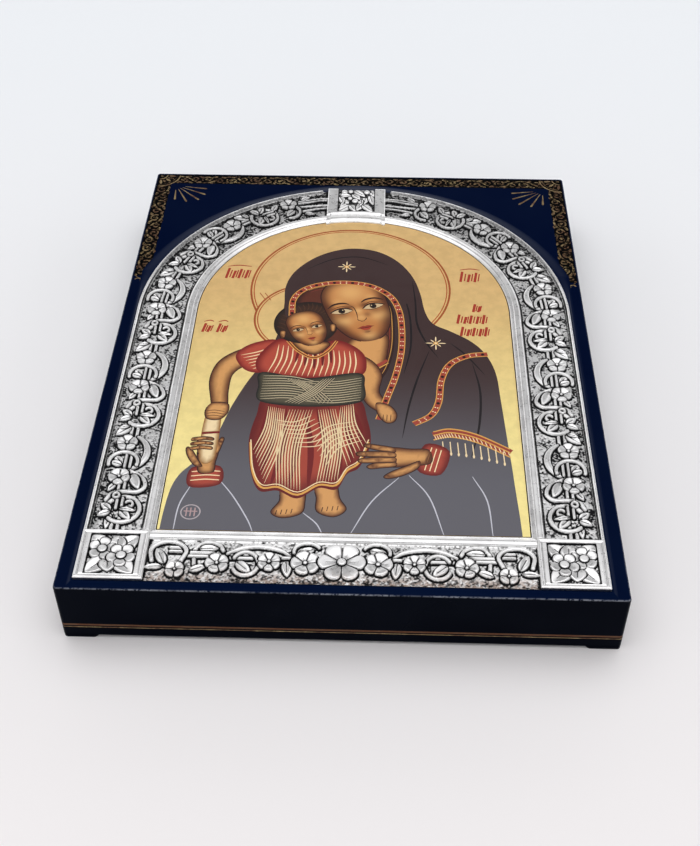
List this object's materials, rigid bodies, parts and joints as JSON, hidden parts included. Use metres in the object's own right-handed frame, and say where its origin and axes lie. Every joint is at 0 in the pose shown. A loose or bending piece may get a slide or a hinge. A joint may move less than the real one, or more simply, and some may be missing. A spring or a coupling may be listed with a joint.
{
  "type": "icon panel",
  "caption": "Small devotional icon panel: navy lacquered wooden board with an arched pressed silver surround of vine scroll, a keystone and corner squares, round a printed picture plate",
  "frame": {"origin": "centre of the bounding box at the base, on the plane of the four corner feet", "axes": "+X to the right of the picture, +Y to the picture's top, +Z out of the picture; the panel lies on its back"},
  "size_m": [0.16, 0.21, 0.0248],
  "materials": {
    "navy_lacquer": "gloss navy lacquer on wood board, gold printed edge ornament",
    "pressed_silver": "pressed silver plate, black oxidised in the recesses, bright worn tops",
    "printed_gold_ground": "coloured print on a gold ground under a clear gloss coat"
  },
  "bodies": {
    "root": {"board": "navy_lacquer", "silver_surround": "pressed_silver", "picture_plate": "printed_gold_ground"}
  },
  "joints": []
}
